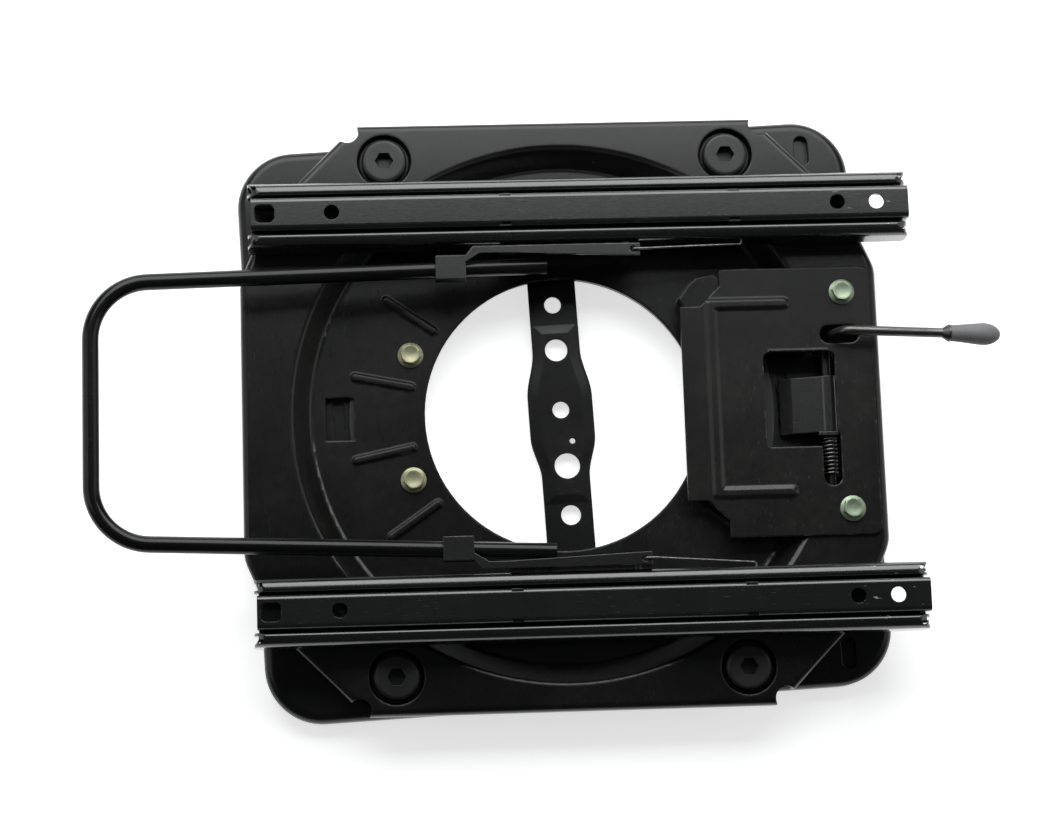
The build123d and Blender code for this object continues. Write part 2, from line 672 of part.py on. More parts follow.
# Pawl on the lever's shaft, its tip on the floor pan beside the detent
with BuildPart() as lock_pawl:
    with BuildSketch(Plane.XZ.offset(-PAWL_LOW_Y)):
        tip_z = BASE_HEIGHT + RUN_GAP
        with BuildLine():
            Polyline(
                (shaft_x, shaft_z + PAWL_HUB_R),
                (pawl_tip_x + 2 * PAWL_SHEET, shaft_z - PAWL_SHEET / 2),
                (pawl_tip_x, shaft_z - 2 * PAWL_SHEET),
                (pawl_tip_x, tip_z),
                (pawl_tip_x + PAWL_TIP_THICK, tip_z),
                (pawl_tip_x + PAWL_TIP_THICK, shaft_z - 2 * PAWL_SHEET),
                (shaft_x, shaft_z - PAWL_HUB_R),
                close=True,
            )
        make_face()
        with Locations((shaft_x, shaft_z)):
            Circle(PAWL_HUB_R)
            Circle(SHAFT_R, mode=Mode.SUBTRACT)
    extrude(amount=PAWL_LOW_Y - PAWL_HIGH_Y)

# Return spring on the shaft
with BuildPart() as lever_spring:
    with BuildLine() as coil_line:
        Helix(
            pitch=COIL_LENGTH / COIL_TURNS,
            height=COIL_LENGTH,
            radius=COIL_R,
            center=(shaft_x, coil_start_y, shaft_z),
            direction=(0, -1, 0),
        )
    with BuildSketch(Plane(origin=coil_line.line @ 0, z_dir=coil_line.line % 0)):
        Circle(COIL_WIRE_R)
    sweep(is_frenet=True)


def across(side):
    """The rail's section plane at its front end, on one side of the seat, level with the turntable."""
    return Plane(origin=(RAIL_START_X, side * RAIL_Y, plate_top), x_dir=(0, 1, 0), z_dir=(1, 0, 0))


def lower_rail(side):
    """Outer rail: a channel with rolled shoulders and lips, and a window for the latch teeth."""
    mid = RAIL_SHEET / 2
    lip = lip_half - mid
    wall = RAIL_WIDTH / 2 - mid
    top = RAIL_HEIGHT - mid
    with BuildPart() as rail:
        with BuildSketch(across(side)):
            with BuildLine():
                FilletPolyline(
                    (lip, lip_bottom), (lip, top), (wall, top), (wall, mid),
                    (-wall, mid), (-wall, top), (-lip, top), (-lip, lip_bottom),
                    radius=(
                        RAIL_LIP_R, RAIL_SHOULDER_R, RAIL_FLOOR_R, RAIL_FLOOR_R, RAIL_SHOULDER_R, RAIL_LIP_R,
                    ),
                )
            trace(line_width=RAIL_SHEET)
        extrude(amount=rail_length)
        with BuildSketch(Plane.XZ) as side_view:
            with Locations((rail_mid_x, plate_top + RAIL_HEIGHT / 2)):
                Rectangle(rail_length, RAIL_HEIGHT)
            fillet(side_view.vertices().group_by(Axis.Z)[0], RAIL_END_R)
        extrude(amount=RAIL_Y + RAIL_WIDTH, both=True, mode=Mode.INTERSECT)
        with BuildSketch(Plane.XY.offset(plate_top)):
            with Locations((RAIL_SCREW_X, side * RAIL_Y), (-RAIL_SCREW_X, side * RAIL_Y)):
                Circle(BOLT_R + BOLT_HOLE_GAP)
            notch_start = END_HOLE_X - FLOOR_NOTCH_LEAD
            with Locations(((notch_start + RAIL_END_X) / 2, side * RAIL_Y)):
                Rectangle(RAIL_END_X - notch_start, 2 * FLOOR_NOTCH_HALF)
        extrude(amount=RAIL_SHEET, mode=Mode.SUBTRACT)
        with BuildSketch(Plane.XY.offset(plate_top + RAIL_HEIGHT)):
            shoulder = (RAIL_WIDTH / 2 + lip_half) / 2
            for end_x in (RAIL_START_X + CRIMP_INSET, RAIL_END_X - CRIMP_INSET):
                with Locations((end_x, side * RAIL_Y + shoulder), (end_x, side * RAIL_Y - shoulder)):
                    Circle(CRIMP_HOLE_R)
        extrude(amount=-2 * RAIL_SHEET, mode=Mode.SUBTRACT)
        window_mid = (TOOTH_WINDOW_START_X + TOOTH_WINDOW_END_X) / 2
        window_z = (tooth_window_low + tooth_window_high) / 2
        with BuildSketch(Plane.XZ.offset(-side * rail_inner_y)):
            with Locations((window_mid, window_z)):
                Rectangle(TOOTH_WINDOW_END_X - TOOTH_WINDOW_START_X, tooth_window_high - tooth_window_low)
        extrude(amount=-side * (RAIL_WIDTH / 2 - tooth_tip_half), mode=Mode.SUBTRACT)
        with BuildSketch(Plane.XZ.offset(-side * rail_inner_y)):
            with Locations((LATCH_PIVOT_X, latch_pivot_z)):
                Circle(LATCH_PIN_R)
            with Locations((WIRE_END_X, wire_hook_z)):
                Circle(WIRE_R)
        extrude(amount=-side * RAIL_SHEET, mode=Mode.SUBTRACT)
    return rail.part


def upper_rail(side):
    """Inner rail: an upturned channel whose feet hook behind the lips, with a rack on the inner hook."""
    mid = RAIL_SHEET / 2
    wall = slider_half - mid
    hook = slider_hook_half - mid
    top = slider_top - mid
    foot = SLIDER_FOOT + mid
    with BuildPart() as rail:
        with BuildSketch(across(side).offset(SLIDER_START_X - RAIL_START_X)):
            with BuildLine():
                FilletPolyline(
                    (-hook, hook_top), (-hook, foot), (-wall, foot), (-wall, top),
                    (wall, top), (wall, foot), (hook, foot), (hook, hook_top),
                    radius=SLIDER_BEND_R,
                )
            trace(line_width=RAIL_SHEET)
        extrude(amount=slider_length)
        with BuildSketch(Plane.XY.offset(plate_top + slider_top)):
            with Locations(*[(x, side * RAIL_Y) for x in (SEAT_HOLE_FRONT_X, SEAT_HOLE_BACK_X, END_HOLE_X)]):
                Circle(SEAT_HOLE_R)
            with Locations((END_WINDOW_X, side * RAIL_Y)):
                RectangleRounded(END_WINDOW_LENGTH, END_WINDOW_WIDTH, 2 * RAIL_SHEET)
        extrude(amount=-RAIL_SHEET, mode=Mode.SUBTRACT)
        with BuildSketch(Plane.XY.offset(plate_top + slider_top)):
            for notch_x in STOP_NOTCH_XS:
                for edge in (-slider_half, slider_half):
                    with Locations((notch_x, side * RAIL_Y + edge)):
                        Rectangle(STOP_NOTCH_LENGTH, 2 * STOP_NOTCH_DEPTH)
        extrude(amount=-STOP_NOTCH_HEIGHT, mode=Mode.SUBTRACT)
        rack_y = side * (RAIL_Y - hook)
        with BuildSketch(Plane.XY.offset(plate_top + hook_top)):
            with Locations(*[(RACK_START_X + step * RACK_PITCH, rack_y) for step in range(RACK_COUNT)]):
                Rectangle(RACK_NOTCH, 2 * RAIL_SHEET)
        extrude(amount=-RACK_DEPTH, mode=Mode.SUBTRACT)
    return rail.part


lower_rail_right = lower_rail(1)
lower_rail_left = lower_rail(-1)
upper_rail_right = upper_rail(1)
upper_rail_left = upper_rail(-1)

# Glide shoes under the upper rails' hooks
with BuildPart() as glide_shoes:
    shoe_low = plate_top + RAIL_SHEET + RUN_GAP
    shoe_out = RAIL_WIDTH / 2 - RAIL_SHEET - RUN_GAP
    shoe_in = slider_half
    for shoe_x in SHOE_XS:
        for rail_y in (-RAIL_Y, RAIL_Y):
            for hand in (-1, 1):
                shoe_plane = Plane(origin=(shoe_x, rail_y, 0), x_dir=(0, hand, 0), z_dir=(hand, 0, 0))
                with BuildSketch(shoe_plane):
                    with BuildLine():
                        Polyline(
                            (shoe_in, shoe_low),
                            (shoe_out - RAIL_FLOOR_R, shoe_low),
                            (shoe_out, shoe_low + RAIL_FLOOR_R),
                            (shoe_out, shoe_low + SHOE_HEIGHT),
                            (slider_hook_half, shoe_low + SHOE_HEIGHT),
                            (slider_hook_half, plate_top + SLIDER_FOOT),
                            (shoe_in, plate_top + SLIDER_FOOT),
                            close=True,
                        )
                    make_face()
                extrude(amount=SHOE_LENGTH / 2, both=True)

# Screws and nuts of the lower rails
with BuildPart() as rail_screws:
    screw_seat = plate_top + RAIL_SHEET
    with BuildSketch(Plane.XY.offset(screw_seat)):
        with Locations(*rail_screw_points):
            Circle(BUTTON_R)
    extrude(amount=BUTTON_HEIGHT)
    fillet(rail_screws.faces().group_by(Axis.Z)[-1].edges(), BUTTON_HEIGHT / 2)
    with BuildSketch(Plane.XY.offset(screw_seat)):
        with Locations(*rail_screw_points):
            Circle(BOLT_R)
    extrude(amount=plate_under - NUT_HEIGHT - screw_seat)
    with BuildSketch(Plane.XY.offset(screw_seat + BUTTON_HEIGHT)):
        with Locations(*rail_screw_points):
            RegularPolygon(BUTTON_SOCKET_R, 6)
    extrude(amount=-BUTTON_SOCKET_DEPTH, mode=Mode.SUBTRACT)

rail_nuts = hex_nuts(rail_screw_points, plate_under)

# Release bar: one bent tube whose legs splay and climb to the front
bar_end_z = plate_top + BAR_END_RISE
bar_front_z = plate_top + BAR_FRONT_RISE
with BuildPart() as release_bar:
    with BuildLine() as bar_line:
        FilletPolyline(
            (BAR_END_X, BAR_END_HALF, bar_end_z),
            (BAR_FRONT_X, BAR_FRONT_HALF, bar_front_z),
            (BAR_FRONT_X, -BAR_FRONT_HALF, bar_front_z),
            (BAR_END_X, -BAR_END_HALF, bar_end_z),
            radius=BAR_CORNER_R,
        )
    with BuildSketch(Plane(origin=bar_line.line @ 0, z_dir=bar_line.line % 0)):
        Circle(BAR_R)
        Circle(BAR_R - BAR_WALL, mode=Mode.SUBTRACT)
    sweep()

# Latch levers: a flanged arm on the rail's side, a neck and a saddle over the bar's leg
latch_wall_y = rail_inner_y - LATCH_GAP
wire_y = latch_wall_y - LATCH_SHEET - WIRE_INSET
leg_splay = (BAR_END_HALF - BAR_FRONT_HALF) / (BAR_END_X - BAR_FRONT_X)
leg_climb = (bar_front_z - bar_end_z) / (BAR_END_X - BAR_FRONT_X)
saddle_y = BAR_END_HALF + leg_splay * (SADDLE_X - BAR_END_X)
saddle_half = BAR_R + SADDLE_GAP + LATCH_SHEET
saddle_front_x = SADDLE_X - SADDLE_LENGTH / 2
saddle_back_x = SADDLE_X + SADDLE_LENGTH / 2
latch_flange_z = bar_end_z + leg_climb * (BAR_END_X - saddle_front_x) + BAR_R + PIVOT_GAP
with BuildPart() as latch_lever_right:
    with BuildSketch(Plane.XY.offset(latch_flange_z)):
        with BuildLine():
            Polyline(
                (LATCH_START_X, latch_wall_y),
                (LATCH_END_X, latch_wall_y),
                (LATCH_END_X, latch_wall_y - LATCH_END_WIDTH),
                (LATCH_START_X, latch_wall_y - LATCH_START_WIDTH),
                close=True,
            )
        make_face()
        with BuildLine():
            neck_in = saddle_y + saddle_half
            Polyline(
                (saddle_back_x, neck_in),
                (saddle_back_x + NECK_WIDTH, latch_wall_y),
                (LATCH_START_X, latch_wall_y),
                (LATCH_START_X, latch_wall_y - NECK_WIDTH),
                (saddle_back_x + 2 * NECK_WIDTH, latch_wall_y - NECK_WIDTH),
                (saddle_back_x, neck_in - NECK_WIDTH),
                close=True,
            )
        make_face()
        with Locations((SADDLE_X, saddle_y)):
            Rectangle(SADDLE_LENGTH, 2 * saddle_half)
        with Locations((WIRE_HOLE_X, wire_y)):
            Circle(WIRE_HOLE_R, mode=Mode.SUBTRACT)
    extrude(amount=LATCH_SHEET)
    with BuildSketch(Plane.XY.offset(latch_flange_z)):
        for wall_y in (saddle_y - saddle_half, saddle_y + saddle_half - LATCH_SHEET):
            with Locations((SADDLE_X, wall_y + LATCH_SHEET / 2)):
                Rectangle(SADDLE_LENGTH, LATCH_SHEET)
    extrude(amount=-SADDLE_DROP)
    with BuildSketch(Plane.XZ.offset(-latch_wall_y)):
        with Locations(((LATCH_START_X + LATCH_END_X) / 2, latch_flange_z + LATCH_SHEET / 2 - LATCH_DROP / 2)):
            Rectangle(LATCH_END_X - LATCH_START_X, LATCH_DROP + LATCH_SHEET)
        with Locations((LATCH_PIVOT_X, latch_pivot_z)):
            Circle(LATCH_PIN_R + PIVOT_GAP, mode=Mode.SUBTRACT)
    extrude(amount=LATCH_SHEET)
    with BuildSketch(Plane.XY.offset(tooth_low)):
        tooth_tip_y = RAIL_Y - tooth_tip_half
        with Locations(*[(x, (latch_wall_y + tooth_tip_y) / 2) for x in TOOTH_XS]):
            Rectangle(TOOTH_WIDTH, tooth_tip_y - latch_wall_y)
    extrude(amount=LATCH_SHEET)

with BuildPart() as latch_lever_left:
    mirror(latch_lever_right.part, about=Plane.XZ)

# Pivots of the latch levers, headed on the inside and riveted into the rail's wall
with BuildPart() as latch_pivots:
    for side in (-1, 1):
        pin_start = side * (latch_wall_y - LATCH_SHEET - RUN_GAP)
        with BuildSketch(Plane.XZ.offset(-pin_start)):
            with Locations((LATCH_PIVOT_X, latch_pivot_z)):
                Circle(LATCH_HEAD_R)
        extrude(amount=side * LATCH_HEAD_THICK)
        with BuildSketch(Plane.XZ.offset(-pin_start)):
            with Locations((LATCH_PIVOT_X, latch_pivot_z)):
                Circle(LATCH_PIN_R)
        extrude(amount=pin_start - side * (rail_inner_y + RAIL_SHEET))

# Wire springs from the rails to the tails of the latch levers
with BuildPart() as latch_springs:
    for side in (-1, 1):
        wire_z = latch_flange_z + LATCH_SHEET + WIRE_R + PIVOT_GAP
        with BuildLine() as wire_line:
            FilletPolyline(
                (WIRE_HOLE_X, side * wire_y, latch_flange_z - WIRE_TAIL),
                (WIRE_HOLE_X, side * wire_y, wire_z),
                (LATCH_END_X + WIRE_RUN, side * wire_y, wire_z),
                (WIRE_END_X, side * (rail_inner_y - WIRE_STANDOFF), wire_hook_z),
                (WIRE_END_X, side * (rail_inner_y + RAIL_SHEET), wire_hook_z),
                radius=WIRE_BEND_R,
            )
        with BuildSketch(Plane(origin=wire_line.line @ 0, z_dir=wire_line.line % 0)):
            Circle(WIRE_R)
        sweep(path=wire_line.line)

# Strap under the opening, riveted to the floor pan
with BuildPart() as cross_strap:
    strap_plane = Plane(origin=(0, 0, 0), x_dir=base_plane.y_dir, z_dir=base_plane.x_dir)
    with BuildSketch(strap_plane):
        with BuildLine():
            low = STRAP_Z
            high = base_under - STRAP_SHEET
            Polyline(
                (-strap_end_y, high), (-strap_ramp_end_y, high), (-strap_ramp_y, low),
                (strap_ramp_y, low), (strap_ramp_end_y, high), (strap_end_y, high),
                (strap_end_y, base_under), (strap_ramp_end_y - STRAP_SHEET / 2, base_under),
                (strap_ramp_y - STRAP_SHEET / 2, low + STRAP_SHEET),
                (-strap_ramp_y + STRAP_SHEET / 2, low + STRAP_SHEET),
                (-strap_ramp_end_y + STRAP_SHEET / 2, base_under), (-strap_end_y, base_under),
                close=True,
            )
        make_face()
    extrude(amount=STRAP_WIDE_HALF, both=True)
    with BuildSketch(base_plane):
        Rectangle(2 * STRAP_HALF, 2 * strap_end_y)
        with BuildLine():
            taper_low = STRAP_WIDE_LOW - STRAP_TAPER
            taper_high = STRAP_WIDE_HIGH + STRAP_TAPER
            Polyline(
                (STRAP_HALF, taper_low), (STRAP_WIDE_HALF, STRAP_WIDE_LOW),
                (STRAP_WIDE_HALF, STRAP_WIDE_HIGH), (STRAP_HALF, taper_high),
                (-STRAP_HALF, taper_high), (-STRAP_WIDE_HALF, STRAP_WIDE_HIGH),
                (-STRAP_WIDE_HALF, STRAP_WIDE_LOW), (-STRAP_HALF, taper_low),
                close=True,
            )
        make_face()
        for hole_x, hole_y, hole_r in STRAP_HOLES:
            with Locations((hole_x, hole_y)):
                Circle(hole_r, mode=Mode.SUBTRACT)
        with Locations(*strap_rivet_points):
            Circle(RIVET_R, mode=Mode.SUBTRACT)
    extrude(amount=BASE_HEIGHT, mode=Mode.INTERSECT)

with BuildPart() as strap_rivets:
    with BuildSketch(base_plane.offset(BASE_HEIGHT)):
        with Locations(*strap_rivet_points):
            Circle(RIVET_HEAD_R)
    extrude(amount=RIVET_HEAD)
    fillet(strap_rivets.faces().group_by(Axis.Z)[-1].edges(), RIVET_HEAD / 2)
    with BuildSketch(base_plane.offset(BASE_HEIGHT)):
        with Locations(*strap_rivet_points):
            Circle(RIVET_R)
    extrude(amount=-SHEET - STRAP_SHEET)
    with BuildSketch(base_plane.offset(base_under - STRAP_SHEET)):
        with Locations(*strap_rivet_points):
            Circle(RIVET_HEAD_R)
    extrude(amount=-RIVET_HEAD)

pieces = {
    "base_plate": base_plate.part,
    "upper_glide_ring": upper_glide_ring.part,
    "lower_glide_ring": lower_glide_ring.part,
    "retaining_ring": retaining_ring.part,
    "turntable_plate": turntable_plate.part,
    "ring_bolts": ring_bolts,
    "lock_plate": lock_plate.part,
    "lock_bolts": lock_bolts,
    "lock_nuts": lock_nuts,
    "corner_pads": corner_pads.part,
    "lever_bracket": lever_bracket.part,
    "lever_rod": lever_rod.part,
    "lever_grip": lever_grip.part,
    "lock_pawl": lock_pawl.part,
    "lever_spring": lever_spring.part,
    "lower_rail_right": lower_rail_right,
    "lower_rail_left": lower_rail_left,
    "upper_rail_right": upper_rail_right,
    "upper_rail_left": upper_rail_left,
    "glide_shoes": glide_shoes.part,
    "rail_screws": rail_screws.part,
    "rail_nuts": rail_nuts,
    "release_bar": release_bar.part,
    "latch_lever_right": latch_lever_right.part,
    "latch_lever_left": latch_lever_left.part,
    "latch_pivots": latch_pivots.part,
    "latch_springs": latch_springs.part,
    "cross_strap": cross_strap.part,
    "strap_rivets": strap_rivets.part,
}
os.makedirs("parts", exist_ok=True)
for name, piece in pieces.items():
    piece.label = name
    export_step(piece, f"parts/{name}.step")
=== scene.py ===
import math
import bpy
from mathutils import Matrix, Vector


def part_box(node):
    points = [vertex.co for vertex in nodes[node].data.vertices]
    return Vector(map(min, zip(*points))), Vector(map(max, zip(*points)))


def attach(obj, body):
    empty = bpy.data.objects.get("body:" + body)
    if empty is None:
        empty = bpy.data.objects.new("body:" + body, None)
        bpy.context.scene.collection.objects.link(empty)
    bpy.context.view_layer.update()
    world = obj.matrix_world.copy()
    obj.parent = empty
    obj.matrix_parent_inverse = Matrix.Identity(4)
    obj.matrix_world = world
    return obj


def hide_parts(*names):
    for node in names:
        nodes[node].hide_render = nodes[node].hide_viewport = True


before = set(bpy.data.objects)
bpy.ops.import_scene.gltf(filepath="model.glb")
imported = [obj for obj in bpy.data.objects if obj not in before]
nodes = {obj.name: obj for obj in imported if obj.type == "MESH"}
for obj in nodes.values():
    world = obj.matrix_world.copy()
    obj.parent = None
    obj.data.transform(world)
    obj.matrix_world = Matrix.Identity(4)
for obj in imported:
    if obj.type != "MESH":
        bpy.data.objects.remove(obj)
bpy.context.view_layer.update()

# Swivel seat base, dressed: satin black pressings, worn rails, zinc bolts, a steel lever with a grey grip.
# Metres, in the part's own frame. The outlines and places of the detail pieces are in millimetres.
MM = 1000
bpy.ops.object.select_all(action="DESELECT")


# Finishes

DUST = (0.045, 0.043, 0.040)
SCRATCH = (0.075, 0.075, 0.078)
RUBBED_PAINT = (0.20, 0.20, 0.20)
BARE_FLECK = (0.33, 0.325, 0.31)
ZINC_SPOT = (0.16, 0.14, 0.10)
# Painted shade with grime, laid into the corners of the zinc
ZINC_SHADE_AND_GRIME = (0.05, 0.045, 0.035)
TARNISH = (0.11, 0.095, 0.08)
# Painted shade on bare steel below a given height
PAINTED_SHADE_STEEL = (0.030, 0.029, 0.028)
# How well a rounded normal matches its face: where an edge starts to look rubbed, and where it is rubbed fully
EDGE_STARTS, EDGE_FULL = 0.985, 0.86
# The deep shade in the paint as a share of its tone
DEEP_SHARE = 0.62
PAINT_COAT_ROUGHNESS = 0.12
FLECK_STRETCH = (1.0, 3.6, 3.6)
FLECK_FADE = 0.02
# The height over which that painted shade on bare steel fades in
SHADE_FADE = 0.003
# A place along X that no piece reaches, for paint without flecks
PAST_THE_PART = 9.0


def finish(name):
    """A new finish with a bare shader: the material, the shader, and short ways to add and join nodes."""
    made = bpy.data.materials.new(name)
    made.use_nodes = True
    tree = made.node_tree
    tree.nodes.clear()
    out = tree.nodes.new("ShaderNodeOutputMaterial")
    skin = tree.nodes.new("ShaderNodeBsdfPrincipled")
    tree.links.new(skin.outputs["BSDF"], out.inputs["Surface"])

    def add(kind, **values):
        node = tree.nodes.new(kind)
        for key, value in values.items():
            if key in node.inputs:
                node.inputs[key].default_value = value
            else:
                setattr(node, key, value)
        return node

    def join(start, end):
        tree.links.new(start, end)

    return made, skin, add, join


def speckle(add, join, place, scale, detail=4.0, rough=0.5, stretch=None):
    """Noise in the object's own frame, stretched along one way where the finish was brushed or dragged."""
    cloud = add("ShaderNodeTexNoise", Scale=scale, Detail=detail, Roughness=rough)
    if stretch:
        lay = add("ShaderNodeMapping")
        lay.inputs["Scale"].default_value = stretch
        join(place, lay.inputs["Vector"])
        join(lay.outputs["Vector"], cloud.inputs["Vector"])
    else:
        join(place, cloud.inputs["Vector"])
    return cloud.outputs["Fac"]


def window(add, join, source, low, high, from_value=0.0, to_value=1.0):
    """The part of a pattern between two levels, spread over a range of values."""
    span = add("ShaderNodeMapRange", interpolation_type="SMOOTHSTEP")
    span.inputs["From Min"].default_value = low
    span.inputs["From Max"].default_value = high
    span.inputs["To Min"].default_value = from_value
    span.inputs["To Max"].default_value = to_value
    join(source, span.inputs["Value"])
    return span.outputs["Result"]


def both(add, join, first, second):
    """Two patterns multiplied."""
    product = add("ShaderNodeMath", operation="MULTIPLY")
    join(first, product.inputs[0])
    join(second, product.inputs[1])
    return product.outputs["Value"]


def coat(add, join, share, under, over):
    """One colour laid over another where the share says; each is a colour or a socket."""
    mix = add("ShaderNodeMix", data_type="RGBA")
    sockets = [s for s in mix.inputs if s.type == "RGBA"]
    for value, socket in zip((under, over), sockets):
        if isinstance(value, tuple):
            socket.default_value = (*value, 1.0)
        else:
            join(value, socket)
    join(share, mix.inputs["Factor"])
    return [s for s in mix.outputs if s.type == "RGBA"][0]


def along_axis(add, join, vector, letter):
    """One coordinate of a vector."""
    split = add("ShaderNodeSeparateXYZ")
    join(vector, split.inputs["Vector"])
    return split.outputs[letter]


def worn_edge(add, join, round_over, share_noise):
    """The rounded edge's normal, where the edge is rubbed, and the face's own normal."""
    soft = add("ShaderNodeBevel", samples=8, Radius=round_over)
    shape = add("ShaderNodeNewGeometry")
    match = add("ShaderNodeVectorMath", operation="DOT_PRODUCT")
    join(soft.outputs["Normal"], match.inputs[0])
    join(shape.outputs["Normal"], match.inputs[1])
    edge = window(add, join, match.outputs["Value"], EDGE_STARTS, EDGE_FULL)
    return soft.outputs["Normal"], both(add, join, edge, share_noise), shape.outputs["Normal"]


def relief(add, join, skin, height, strength, depth, edge_normal=None):
    """Fine relief on the shader, laid over the rounded edges where there are any."""
    ripple = add("ShaderNodeBump", Strength=strength, Distance=depth)
    join(height, ripple.inputs["Height"])
    if edge_normal is not None:
        join(edge_normal, ripple.inputs["Normal"])
    join(ripple.outputs["Normal"], skin.inputs["Normal"])


def satin_black(name, tone, dust, scuff, rub, gloss, spread, shine, mirror, drag, round_over,
                worn_from=PAST_THE_PART):
    """Satin black paint on pressed steel: orange peel, a film of dust, drag marks and rubbed edges, and
    flecks of lost paint past a place along X."""
    made, skin, add, join = finish(name)
    place = add("ShaderNodeTexCoord").outputs["Object"]
    cloud = speckle(add, join, place, scale=16.0, detail=3.0)
    fine = speckle(add, join, place, scale=140.0, detail=6.0, rough=0.62)
    peel = speckle(add, join, place, scale=950.0, detail=2.0)
    marks = speckle(add, join, place, scale=60.0, detail=3.0, rough=0.55, stretch=drag)
    patches = speckle(add, join, place, scale=9.0, detail=2.0)
    spots = speckle(add, join, place, scale=110.0, detail=3.0, rough=0.55, stretch=FLECK_STRETCH)
    chips = window(add, join, fine, 0.50, 0.62)
    edge_normal, edge, face_normal = worn_edge(add, join, round_over, chips)

    level = window(add, join, along_axis(add, join, face_normal, "Z"), 0.55, 0.95)
    settled = both(add, join, level, window(add, join, cloud, 0.36, 0.68))
    film = both(add, join, settled, window(add, join, fine, 0.30, 0.75, 0.25 * dust, dust))
    lines = both(add, join, window(add, join, marks, 0.665, 0.70),
                 window(add, join, patches, 0.50, 0.62, 0.0, scuff))
    rubbed = both(add, join, edge, window(add, join, patches, 0.40, 0.66, 0.15 * rub, rub))
    worn_place = window(add, join, along_axis(add, join, place, "X"),
                        worn_from, worn_from + FLECK_FADE, 0.0, 0.9)
    flecks = both(add, join, window(add, join, spots, 0.69, 0.71), worn_place)

    deep = tuple(c * DEEP_SHARE for c in tone)
    paint = coat(add, join, window(add, join, cloud, 0.30, 0.72), deep, tone)
    for share, colour in ((film, DUST), (lines, SCRATCH), (rubbed, RUBBED_PAINT), (flecks, BARE_FLECK)):
        paint = coat(add, join, share, paint, colour)
    join(paint, skin.inputs["Base Color"])

    sheen = add("ShaderNodeMath", operation="ADD")
    join(window(add, join, marks, 0.25, 0.75, gloss - spread, gloss + spread), sheen.inputs[0])
    join(window(add, join, film, 0.0, 0.5, 0.0, 0.16), sheen.inputs[1])
    join(sheen.outputs["Value"], skin.inputs["Roughness"])
    skin.inputs["Specular IOR Level"].default_value = mirror
    skin.inputs["Coat Weight"].default_value = shine
    skin.inputs["Coat Roughness"].default_value = PAINT_COAT_ROUGHNESS
    relief(add, join, skin, peel, strength=0.10, depth=0.0004, edge_normal=edge_normal)
    return made


def moulded(name, tone, pale, gloss, grain):
    """Moulded plastic: fine grain, a slight mottle and paler rubbed places."""
    made, skin, add, join = finish(name)
    place = add("ShaderNodeTexCoord").outputs["Object"]
    mottle = speckle(add, join, place, scale=70.0, detail=4.0)
    skin_grain = speckle(add, join, place, scale=grain, detail=2.0)
    rubbed = speckle(add, join, place, scale=180.0, detail=5.0, rough=0.6)
    worn = window(add, join, rubbed, 0.40, 0.60)
    edge_normal, edge, _ = worn_edge(add, join, 0.0005, worn)
    colour = coat(add, join, window(add, join, mottle, 0.3, 0.7), tuple(c * 0.8 for c in tone), tone)
    colour = coat(add, join, window(add, join, rubbed, 0.58, 0.74, 0.0, 0.35), colour, pale)
    colour = coat(add, join, edge, colour, pale)
    join(colour, skin.inputs["Base Color"])
    join(window(add, join, mottle, 0.3, 0.7, gloss - 0.06, gloss + 0.08), skin.inputs["Roughness"])
    relief(add, join, skin, skin_grain, strength=0.18, depth=0.0003, edge_normal=edge_normal)
    return made


def plated(name, bright, tint, gloss=0.46, grime=0.35):
    """Zinc plate: cloudy passivation tint, fine pitting, and painted shade with grime in the corners."""
    made, skin, add, join = finish(name)
    place = add("ShaderNodeTexCoord").outputs["Object"]
    cloud = speckle(add, join, place, scale=160.0, detail=4.0)
    pits = speckle(add, join, place, scale=900.0, detail=3.0)
    spots = speckle(add, join, place, scale=420.0, detail=5.0, rough=0.6)
    worn = window(add, join, spots, 0.35, 0.6)
    edge_normal, edge, _ = worn_edge(add, join, 0.0004, worn)
    # Painted shade: the corners that ambient occlusion finds are darkened, with grime laid in them too
    corner = add("ShaderNodeAmbientOcclusion", Distance=0.003, samples=6)
    corner_shade_and_grime = window(add, join, corner.outputs["AO"], 0.75, 0.25, 0.0, 0.8)
    colour = coat(add, join, window(add, join, cloud, 0.34, 0.66), bright, tint)
    colour = coat(add, join, edge, colour, tuple(min(1.0, c * 1.25) for c in bright))
    colour = coat(add, join, window(add, join, spots, 0.62, 0.76, 0.0, grime), colour, ZINC_SPOT)
    colour = coat(add, join, corner_shade_and_grime, colour, ZINC_SHADE_AND_GRIME)
    join(colour, skin.inputs["Base Color"])
    skin.inputs["Metallic"].default_value = 0.85
    join(window(add, join, pits, 0.3, 0.7, gloss - 0.06, gloss + 0.10), skin.inputs["Roughness"])
    relief(add, join, skin, pits, strength=0.15, depth=0.0002, edge_normal=edge_normal)
    return made


def drawn_steel(name, bright, dull, drag, shade_below, gloss=0.36):
    """Bare drawn steel: streaks along its length, a little tarnish, and painted shade: near black below a given
    height.
    """
    made, skin, add, join = finish(name)
    place = add("ShaderNodeTexCoord").outputs["Object"]
    streak = speckle(add, join, place, scale=60.0, detail=4.0, rough=0.55, stretch=drag)
    stain = speckle(add, join, place, scale=75.0, detail=5.0, rough=0.6)
    # Painted shade: everything below the given height turns near black
    painted_shade = window(add, join, along_axis(add, join, place, "Z"), shade_below + SHADE_FADE, shade_below, 0.0, 0.94)
    colour = coat(add, join, window(add, join, streak, 0.3, 0.7), dull, bright)
    colour = coat(add, join, window(add, join, stain, 0.56, 0.72, 0.0, 0.7), colour, TARNISH)
    colour = coat(add, join, painted_shade, colour, PAINTED_SHADE_STEEL)
    join(colour, skin.inputs["Base Color"])
    skin.inputs["Metallic"].default_value = 1.0
    join(window(add, join, streak, 0.3, 0.7, gloss + 0.08, gloss - 0.04), skin.inputs["Roughness"])
    relief(add, join, skin, streak, strength=0.12, depth=0.0002)
    return made


